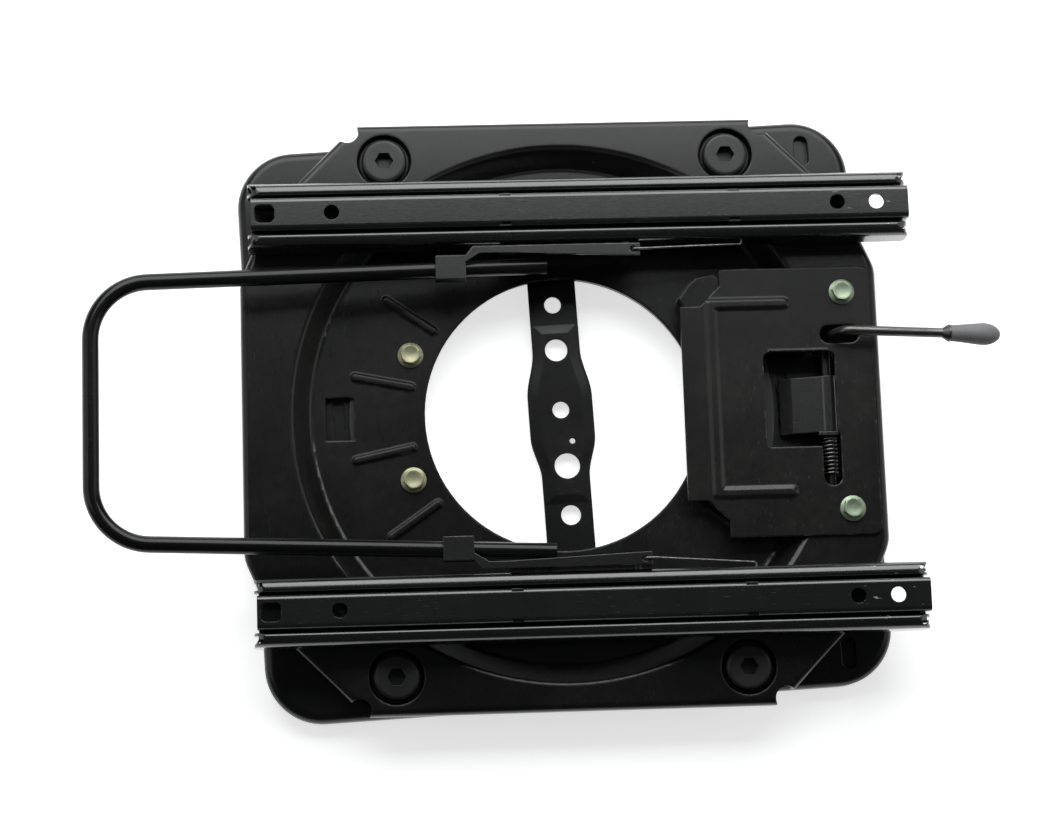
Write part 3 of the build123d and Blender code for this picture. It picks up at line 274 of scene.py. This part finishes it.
pan_black = satin_black(
    "pan_black", tone=(0.0044, 0.0044, 0.0046), dust=0.12, scuff=0.35, rub=0.5, gloss=0.32, spread=0.04,
    shine=0.10, mirror=0.34, drag=(3.0, 26.0, 8.0), round_over=0.0014)
plate_black = satin_black(
    "plate_black", tone=(0.0042, 0.0041, 0.0039), dust=0.14, scuff=0.45, rub=0.5, gloss=0.31, spread=0.04,
    shine=0.22, mirror=0.32, drag=(26.0, 3.0, 8.0), round_over=0.0022)
lock_black = satin_black(
    "lock_black", tone=(0.0050, 0.0047, 0.0043), dust=0.14, scuff=0.45, rub=0.5, gloss=0.33, spread=0.04,
    shine=0.20, mirror=0.36, drag=(26.0, 3.0, 8.0), round_over=0.0018)
rail_black = satin_black(
    "rail_black", tone=(0.0046, 0.0048, 0.0048), dust=0.05, scuff=0.6, rub=0.9, gloss=0.27, spread=0.007,
    shine=1.0, mirror=0.55, drag=(1.5, 22.0, 22.0), round_over=0.0006, worn_from=0.185)
bar_black = satin_black(
    "bar_black", tone=(0.0042, 0.0042, 0.0042), dust=0.04, scuff=0.3, rub=0.4, gloss=0.30, spread=0.03,
    shine=0.30, mirror=0.18, drag=(4.0, 12.0, 12.0), round_over=0.0005)
small_black = satin_black(
    "small_black", tone=(0.0075, 0.0075, 0.0077), dust=0.08, scuff=0.6, rub=0.8, gloss=0.30, spread=0.03,
    shine=0.6, mirror=0.60, drag=(6.0, 20.0, 20.0), round_over=0.0009)
pad_nylon = moulded(
    "pad_nylon", tone=(0.012, 0.012, 0.012), pale=(0.035, 0.035, 0.035), gloss=0.45, grain=1300.0)
grip_plastic = moulded(
    "grip_plastic", tone=(0.19, 0.19, 0.193), pale=(0.27, 0.27, 0.27), gloss=0.55, grain=1700.0)
yellow_zinc = plated("yellow_zinc", bright=(0.42, 0.40, 0.265), tint=(0.335, 0.345, 0.22))
pale_zinc = plated("pale_zinc", bright=(0.36, 0.42, 0.30), tint=(0.275, 0.36, 0.26))
# The rod takes painted shade below 40 mm, where it runs under the lock plate
rod_steel = drawn_steel(
    "rod_steel", bright=(0.15, 0.148, 0.146), dull=(0.082, 0.081, 0.079), drag=(2.0, 22.0, 22.0),
    shade_below=0.040)
wire_steel = drawn_steel(
    "wire_steel", bright=(0.22, 0.215, 0.21), dull=(0.10, 0.10, 0.10), drag=(8.0, 8.0, 8.0),
    shade_below=0.020)

coats = {
    "base_plate": pan_black, "turntable_plate": plate_black, "lock_plate": lock_black,
    "retaining_ring": pan_black, "cross_strap": pan_black, "strap_rivets": pan_black,
    "upper_glide_ring": pad_nylon, "lower_glide_ring": pad_nylon,
    "corner_pads": pad_nylon, "glide_shoes": pad_nylon,
    "ring_bolts": yellow_zinc, "lock_bolts": pale_zinc, "lock_nuts": pale_zinc,
    "rail_screws": wire_steel, "rail_nuts": wire_steel,
    "lower_rail_right": rail_black, "lower_rail_left": rail_black,
    "upper_rail_right": rail_black, "upper_rail_left": rail_black,
    "release_bar": bar_black, "latch_lever_right": small_black, "latch_lever_left": small_black,
    "lever_bracket": small_black, "lock_pawl": small_black,
    "latch_pivots": wire_steel, "latch_springs": wire_steel, "lever_spring": wire_steel,
    "lever_rod": rod_steel, "lever_grip": grip_plastic,
}
for node_name, node_coat in coats.items():
    node_skins = nodes[node_name].data.materials
    node_skins.clear()
    node_skins.append(node_coat)


# Detail pieces, each modelled at the origin and then set in its place

def single_out(piece):
    """Makes a piece the only one selected, and the active one."""
    bpy.ops.object.select_all(action="DESELECT")
    bpy.context.view_layer.objects.active = piece
    piece.select_set(True)


def edit():
    bpy.ops.object.mode_set(mode="EDIT")


def leave_edit():
    bpy.ops.object.mode_set(mode="OBJECT")


def face_outwards():
    """In edit mode, turns every face outwards."""
    bpy.ops.mesh.select_all(action="SELECT")
    bpy.ops.mesh.normals_make_consistent(inside=False)


def weld(reach):
    """In edit mode, joins the corners that lie closer than a distance and turns every face outwards."""
    bpy.ops.mesh.select_all(action="SELECT")
    bpy.ops.mesh.remove_doubles(threshold=reach)
    bpy.ops.mesh.normals_make_consistent(inside=False)


def settle():
    """Takes the active piece's place, turn and size into its mesh."""
    bpy.ops.object.transform_apply(location=True, rotation=True, scale=True)


def turned(name, rings, sides):
    """A round solid about Z, drawn out of a disc ring by ring; each ring is a height and a radius."""
    bpy.ops.object.select_all(action="DESELECT")
    first_height, first_wide = rings[0]
    bpy.ops.mesh.primitive_circle_add(
        vertices=sides, radius=first_wide / MM, fill_type="NGON", location=(0, 0, first_height / MM))
    piece = bpy.context.object
    piece.name = name
    settle()
    edit()
    bpy.ops.mesh.select_mode(type="FACE")
    bpy.ops.mesh.select_all(action="SELECT")
    for (high, next_wide), (low, wide) in zip(rings[1:], rings):
        bpy.ops.mesh.extrude_region_move(TRANSFORM_OT_translate={"value": (0, 0, (high - low) / MM)})
        spread = next_wide / wide
        bpy.ops.transform.resize(value=(spread, spread, 1), center_override=(0, 0, high / MM))
    weld(0.000001)
    leave_edit()
    return piece


def pick(piece, test):
    """Selects the faces that pass a test on their middle and normal, and goes into edit mode."""
    single_out(piece)
    edit()
    bpy.ops.mesh.select_mode(type="FACE")
    bpy.ops.mesh.select_all(action="DESELECT")
    leave_edit()
    for face in piece.data.polygons:
        face.select = test(face.center, face.normal)
    edit()


def combine(piece, other, how):
    """Adds another solid to a piece, cuts it away, or keeps only what both fill, and drops the other."""
    single_out(piece)
    cut = piece.modifiers.new("combine", "BOOLEAN")
    cut.operation = how
    cut.solver = "EXACT"
    cut.object = other
    bpy.ops.object.modifier_apply(modifier=cut.name)
    bpy.data.objects.remove(other, do_unlink=True)


def gather(pieces):
    """Joins several pieces into the first."""
    bpy.ops.object.select_all(action="DESELECT")
    for one in pieces:
        one.select_set(True)
    bpy.context.view_layer.objects.active = pieces[0]
    bpy.ops.object.join()
    return bpy.context.object


def set_down(piece, place, turn=(0, 0, 0)):
    """Moves and turns a piece to its place and leaves its object at the origin."""
    single_out(piece)
    piece.rotation_euler = turn
    piece.location = tuple(v / MM for v in place)
    settle()


def smooth(piece, crease):
    """Shades a piece smooth, with a crisp edge wherever two faces meet at more than an angle in degrees."""
    single_out(piece)
    bpy.ops.object.shade_smooth_by_angle(angle=math.radians(crease))


def dress(piece, skin_coat, body, node):
    """Gives a finished piece its finish and the body it rides on, and hides the CAD node it stands for."""
    piece.data.materials.clear()
    piece.data.materials.append(skin_coat)
    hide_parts(node)
    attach(piece, body)


# Flange bolts of the ring bearing and of the lock plate. A bolt's heights start at its seat.
BOLT_SIDES = 48
SHANK_RADIUS = 4.0
POINT_RADIUS = 3.3
POINT_LENGTH = 0.8
FLANGE_RINGS = [(0.0, 8.7), (0.25, 9.0), (0.9, 9.0), (1.9, 7.3), (2.4, 6.2), (4.6, 5.6)]
HEXAGON_RINGS = [(1.0, 7.5), (6.0, 7.5)]
CROWN_RINGS = [(0.4, 8.7), (4.6, 8.7), (6.0, 6.25)]
CROWN_SIDES = 64
DISH_RIM = 0.0013
DISH_SLOPE = 0.0009
DISH_DEPTH = 0.00035
BOLT_CREASE = 28
RING_BOLT_CIRCLE = 115
RING_BOLT_SEAT = 23.8
# Each bolt's direction from the swivel axis and the turn of its head, in degrees
RING_BOLT_ANGLES = ((157.3, 18), (202.7, 41), (22.7, 5), (-22.7, 30))
LOCK_BOLT_SEAT = 40.5
# Each bolt's place and the turn of its head
LOCK_BOLT_PLACES = [(198.8, 79.5, 22), (198.8, -74.5, 48)]


def flange_bolt(reach):
    """A hexagon bolt with a coned flange: the head's corners are turned off and its top has a shallow dish."""
    shank_rings = [(-reach, POINT_RADIUS), (POINT_LENGTH - reach, SHANK_RADIUS), (0.0, SHANK_RADIUS)]
    stem = turned("bolt_stem", shank_rings + FLANGE_RINGS, BOLT_SIDES)
    head = turned("bolt_head", HEXAGON_RINGS, 6)
    combine(head, turned("bolt_crown", CROWN_RINGS, CROWN_SIDES), "INTERSECT")
    combine(head, stem, "UNION")
    top = max(v.co.z for v in head.data.vertices)
    pick(head, lambda mid, way: mid.z > top - 0.00005 and way.z > 0.9)
    bpy.ops.mesh.inset(thickness=DISH_RIM, depth=0)
    bpy.ops.mesh.inset(thickness=DISH_SLOPE, depth=-DISH_DEPTH)
    weld(0.000002)
    leave_edit()
    smooth(head, BOLT_CREASE)
    return head


def bolt_set(name, points, seat, reach):
    """Copies of one bolt at several places, each turned as the spanner left it, as one piece."""
    first = flange_bolt(reach)
    copies = []
    for place_x, place_y, turn in points:
        one = first.copy()
        one.data = first.data.copy()
        bpy.context.scene.collection.objects.link(one)
        set_down(one, (place_x, place_y, seat), (0, 0, math.radians(turn)))
        copies.append(one)
    bpy.data.objects.remove(first, do_unlink=True)
    made = gather(copies)
    made.name = name
    made.data.name = name
    return made


ring_bolt_places = []
for direction, head_turn in RING_BOLT_ANGLES:
    swing = math.radians(direction)
    ring_bolt_places.append((RING_BOLT_CIRCLE * math.cos(swing), RING_BOLT_CIRCLE * math.sin(swing), head_turn))
ring_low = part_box("ring_bolts")[0][2] * MM
ring_bolts = bolt_set("ring_flange_bolts", ring_bolt_places, RING_BOLT_SEAT, RING_BOLT_SEAT - ring_low)
dress(ring_bolts, yellow_zinc, "turntable", "ring_bolts")
lock_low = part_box("lock_bolts")[0][2] * MM
lock_bolts = bolt_set("lock_flange_bolts", LOCK_BOLT_PLACES, LOCK_BOLT_SEAT, LOCK_BOLT_SEAT - lock_low)
dress(lock_bolts, pale_zinc, "turntable", "lock_bolts")


# Grip: a moulded handle that swells towards a rounded point, bored for the rod
GRIP_RINGS = [
    (0.0, 5.1), (0.35, 5.55), (1.0, 5.7), (6.0, 6.1), (12.0, 6.75), (18.0, 7.4), (22.5, 7.8),
    (25.5, 7.75), (28.5, 7.15), (31.0, 6.1), (33.0, 4.8), (34.3, 3.5), (35.1, 2.1), (35.5, 0.7),
]
GRIP_SIDES = 48
GRIP_MOUTH_WALL = 0.00165
GRIP_BORE_DEPTH = 0.0149
GRIP_CREASE = 40
GRIP_PLACE = (271.42, 45.509, 54.0)
GRIP_YAW = -3.1115

grip = turned("swivel_lever_grip", GRIP_RINGS, GRIP_SIDES)
pick(grip, lambda mid, way: way.z < -0.9 and mid.z < 0.0001)
bpy.ops.mesh.inset(thickness=GRIP_MOUTH_WALL, depth=0)
bpy.ops.mesh.extrude_region_move(TRANSFORM_OT_translate={"value": (0, 0, GRIP_BORE_DEPTH)})
face_outwards()
leave_edit()
smooth(grip, GRIP_CREASE)
set_down(grip, GRIP_PLACE, (0, math.radians(90), math.radians(GRIP_YAW)))
dress(grip, grip_plastic, "swivel_lever", "lever_grip")


# Return spring: eight open turns between two closed ones, with a leg down against the bracket
WIRE_RADIUS = 0.0009
WIRE_SIDES = 12
COIL_RADIUS = 0.0047
COIL_STEPS = 24
CLOSED_RISE = 1.9
OPEN_TURNS = 8
OPEN_RISE = 22.4
LEG_STEPS = ((-0.0002, -0.003, 0.0), (-0.0006, -0.003, 0.0))
SPRING_CREASE = 50
SPRING_PLACE = (186.5, -23.3, 30.0)


def coil_run(turns, rise, start):
    """Part of a wire coil about Z that starts at a height; the ends stay open."""
    bpy.ops.object.select_all(action="DESELECT")
    bpy.ops.mesh.primitive_circle_add(
        vertices=WIRE_SIDES, radius=WIRE_RADIUS, fill_type="NOTHING", location=(COIL_RADIUS, 0, start / MM),
        rotation=(math.radians(90), 0, 0))
    run = bpy.context.object
    settle()
    wind = run.modifiers.new("wind", "SCREW")
    wind.axis = "Z"
    wind.angle = 2 * math.pi * turns
    wind.screw_offset = rise / MM
    wind.iterations = 1
    wind.steps = wind.render_steps = COIL_STEPS * turns
    bpy.ops.object.modifier_apply(modifier=wind.name)
    return run


spring = gather([
    coil_run(1, CLOSED_RISE, 0.0),
    coil_run(OPEN_TURNS, OPEN_RISE, CLOSED_RISE),
    coil_run(1, CLOSED_RISE, CLOSED_RISE + OPEN_RISE),
])
spring.name = "swivel_lever_spring"
edit()
bpy.ops.mesh.select_mode(type="VERT")
bpy.ops.mesh.select_all(action="SELECT")
bpy.ops.mesh.remove_doubles(threshold=0.00002)
bpy.ops.mesh.select_all(action="DESELECT")
bpy.ops.mesh.select_non_manifold()
leave_edit()
for corner in spring.data.vertices:
    corner.select = corner.select and corner.co.z < 0.003
for side in spring.data.edges:
    side.select = all(spring.data.vertices[i].select for i in side.vertices)
edit()
bpy.ops.mesh.select_mode(type="EDGE")
for leg_step in LEG_STEPS:
    bpy.ops.mesh.extrude_edges_move(TRANSFORM_OT_translate={"value": leg_step})
bpy.ops.mesh.select_all(action="SELECT")
bpy.ops.mesh.fill_holes(sides=0)
face_outwards()
leave_edit()
smooth(spring, SPRING_CREASE)
set_down(spring, SPRING_PLACE, (math.radians(90), 0, 0))
dress(spring, wire_steel, "turntable", "lever_spring")


# Strap across the opening: a pressed strip that swells in the middle in two soft shoulders, with a raised panel
STRAP_SHEET = 2.5
STRAP_TURN = 2.4
STRAP_HALF = 17.0
STRAP_SWELL = 6.0
STRAP_HIGH = 15.5
STRAP_LOW = 6.5
STRAP_END = 189.5
RAMP_TOP = 162.75
RAMP_FOOT = 152.75
FAR_SHOULDER = (15.0, 49.0)
NEAR_SHOULDER = (-13.0, -43.0)
SHOULDER_STEPS = 10
PANEL_FAR = 69.0
PANEL_NEAR = -63.0
PANEL_MARGIN = 0.0018
PANEL_SLOPE = 0.0060
PANEL_RISE = 0.0010
STRAP_CREASE = 8.5
# Each hole's place across and along the strap and its radius: six down the middle, then four for the rivets
STRAP_HOLES = (
    (0, 82, 6), (0, 49, 8), (0, 5.7, 6), (6.5, -17, 2), (1.5, -34.6, 9), (1.5, -69.6, 7),
    (-9, 176.75, 3), (9, 176.75, 3), (-9, -176.75, 3), (9, -176.75, 3),
)
DRILL_LENGTH = 20.0
DRILL_SIDES = 48


def shoulder(ends):
    """Rows along a shoulder, from the widest place outwards: place along the strap, half its width, height."""
    inner, outer = ends
    rows = []
    for step in range(SHOULDER_STEPS + 1):
        share = step / SHOULDER_STEPS
        half_width = STRAP_HALF + STRAP_SWELL * (1 + math.cos(math.pi * share)) / 2
        rows.append((inner + share * (outer - inner), half_width, STRAP_LOW))
    return rows


strap_rows = [
    (-STRAP_END, STRAP_HALF, STRAP_HIGH), (-RAMP_TOP, STRAP_HALF, STRAP_HIGH),
    (-RAMP_FOOT, STRAP_HALF, STRAP_LOW), (PANEL_NEAR, STRAP_HALF, STRAP_LOW),
    *reversed(shoulder(NEAR_SHOULDER)), *shoulder(FAR_SHOULDER),
    (PANEL_FAR, STRAP_HALF, STRAP_LOW), (RAMP_FOOT, STRAP_HALF, STRAP_LOW),
    (RAMP_TOP, STRAP_HALF, STRAP_HIGH), (STRAP_END, STRAP_HALF, STRAP_HIGH),
]
bpy.ops.object.select_all(action="DESELECT")
bpy.ops.mesh.primitive_plane_add(size=1.0, location=(0, (-STRAP_END - RAMP_TOP) / 2 / MM, STRAP_HIGH / MM))
strap = bpy.context.object
strap.name = "pressed_strap"
strap.scale = (2 * STRAP_HALF / MM, (STRAP_END - RAMP_TOP) / MM, 1.0)
settle()
for corner in strap.data.vertices:
    corner.select = corner.co.y * MM > -RAMP_TOP - 0.1
for side in strap.data.edges:
    side.select = all(strap.data.vertices[i].select for i in side.vertices)
for face in strap.data.polygons:
    face.select = False
edit()
bpy.ops.mesh.select_mode(type="EDGE")
for (along, half, height), (last, last_half, last_height) in zip(strap_rows[2:], strap_rows[1:]):
    stretch_on = (0, (along - last) / MM, (height - last_height) / MM)
    bpy.ops.mesh.extrude_edges_move(TRANSFORM_OT_translate={"value": stretch_on})
    bpy.ops.transform.resize(value=(half / last_half, 1, 1), center_override=(0, along / MM, height / MM))
face_outwards()
leave_edit()
if sum(face.normal.z for face in strap.data.polygons) < 0:
    pick(strap, lambda mid, way: True)
    bpy.ops.mesh.flip_normals()
    leave_edit()
pick(strap, lambda mid, way: PANEL_NEAR < mid.y * MM < PANEL_FAR)
bpy.ops.mesh.inset(thickness=PANEL_MARGIN, depth=0)
bpy.ops.mesh.inset(thickness=PANEL_SLOPE, depth=PANEL_RISE)
leave_edit()
wall = strap.modifiers.new("wall", "SOLIDIFY")
wall.thickness = STRAP_SHEET / MM
wall.offset = -1.0
wall.use_even_offset = True
bpy.ops.object.modifier_apply(modifier=wall.name)
for hole_x, hole_y, hole_radius in STRAP_HOLES:
    drill = turned("strap_drill", [(0.0, hole_radius), (DRILL_LENGTH, hole_radius)], DRILL_SIDES)
    set_down(drill, (hole_x, hole_y, 0.0))
    combine(strap, drill, "DIFFERENCE")
smooth(strap, STRAP_CREASE)
set_down(strap, (0, 0, 0), (0, 0, math.radians(STRAP_TURN)))
dress(strap, pan_black, "base", "cross_strap")


# Floor, light and camera

FLOOR_SIZE = 6.0
FLOOR_GLOW = 0.65
FILL_TINT = (1.0, 0.99, 0.97)
WINDOW_TINT = (0.98, 1.0, 1.0)
ROOM_LIGHT = 0.06

bpy.ops.mesh.primitive_plane_add(size=FLOOR_SIZE, location=(0, 0, 0))
floor = bpy.context.object
floor.name = "pale_floor"
floor_coat, floor_skin, add, join = finish("pale_floor")
floor_skin.inputs["Base Color"].default_value = (0.93, 0.93, 0.925, 1.0)
floor_skin.inputs["Roughness"].default_value = 0.9
floor_skin.inputs["Specular IOR Level"].default_value = 0.1
# The floor glows where it is looked at, directly or in a reflection; the glow sheds no soft light on the part
ray = add("ShaderNodeLightPath")
seen = add("ShaderNodeMath", operation="MAXIMUM")
join(ray.outputs["Is Camera Ray"], seen.inputs[0])
join(ray.outputs["Is Transmission Ray"], seen.inputs[1])
shown = add("ShaderNodeMath", operation="MAXIMUM")
join(seen.outputs["Value"], shown.inputs[0])
join(ray.outputs["Is Glossy Ray"], shown.inputs[1])
glow = add("ShaderNodeMath", operation="MULTIPLY")
join(shown.outputs["Value"], glow.inputs[0])
glow.inputs[1].default_value = FLOOR_GLOW
join(glow.outputs["Value"], floor_skin.inputs["Emission Strength"])
floor_skin.inputs["Emission Color"].default_value = (1.0, 1.0, 1.0, 1.0)
floor.data.materials.append(floor_coat)

world = bpy.data.worlds.new("studio")
bpy.context.scene.world = world
world.use_nodes = True
room = world.node_tree.nodes["Background"]
room.inputs["Color"].default_value = (0.9, 0.95, 1.0, 1.0)
room.inputs["Strength"].default_value = ROOM_LIGHT


def panel(name, place, aim, width, depth, watts, tint):
    """A soft rectangular lamp that faces a point."""
    lamp = bpy.data.lights.new(name, "AREA")
    lamp.shape = "RECTANGLE"
    lamp.size, lamp.size_y = width, depth
    lamp.energy = watts
    lamp.color = tint
    holder = bpy.data.objects.new(name, lamp)
    bpy.context.scene.collection.objects.link(holder)
    way = (Vector(aim) - Vector(place)).to_track_quat("-Z", "Y")
    holder.matrix_world = Matrix.Translation(place) @ way.to_matrix().to_4x4()


panel("far_window", place=(0.0, 0.885, 0.80), aim=(0.0, 0.24, 0.0), width=1.6, depth=1.04, watts=21.0,
      tint=WINDOW_TINT)
for fill_name, fill_x in (("left_fill", -1.55), ("right_fill", 1.55)):
    panel(fill_name, place=(fill_x, 0.1, 0.85), aim=(0.0, 0.0, 0.0), width=0.9, depth=1.4, watts=3.5,
          tint=FILL_TINT)

# The camera that was fitted to the photo
lens = bpy.data.cameras.new("photo_view")
lens.sensor_width = 36.0
lens.sensor_fit = "HORIZONTAL"
lens.lens = 90.17
lens.clip_start = 0.05
lens.clip_end = 20.0
camera = bpy.data.objects.new("photo_view", lens)
bpy.context.scene.collection.objects.link(camera)
across = Vector((0.99836938, -0.0329861, 0.04658863))
upward = Vector((0.02467598, 0.98533263, 0.16885115))
toward = Vector((-0.05147504, -0.1674262, 0.98453989))
stand = Matrix((across, upward, toward)).transposed().to_4x4()
stand.translation = (-0.12279783, -0.30290711, 1.83804551)
camera.matrix_world = stand
bpy.context.scene.camera = camera
bpy.context.scene.view_settings.view_transform = "Standard"
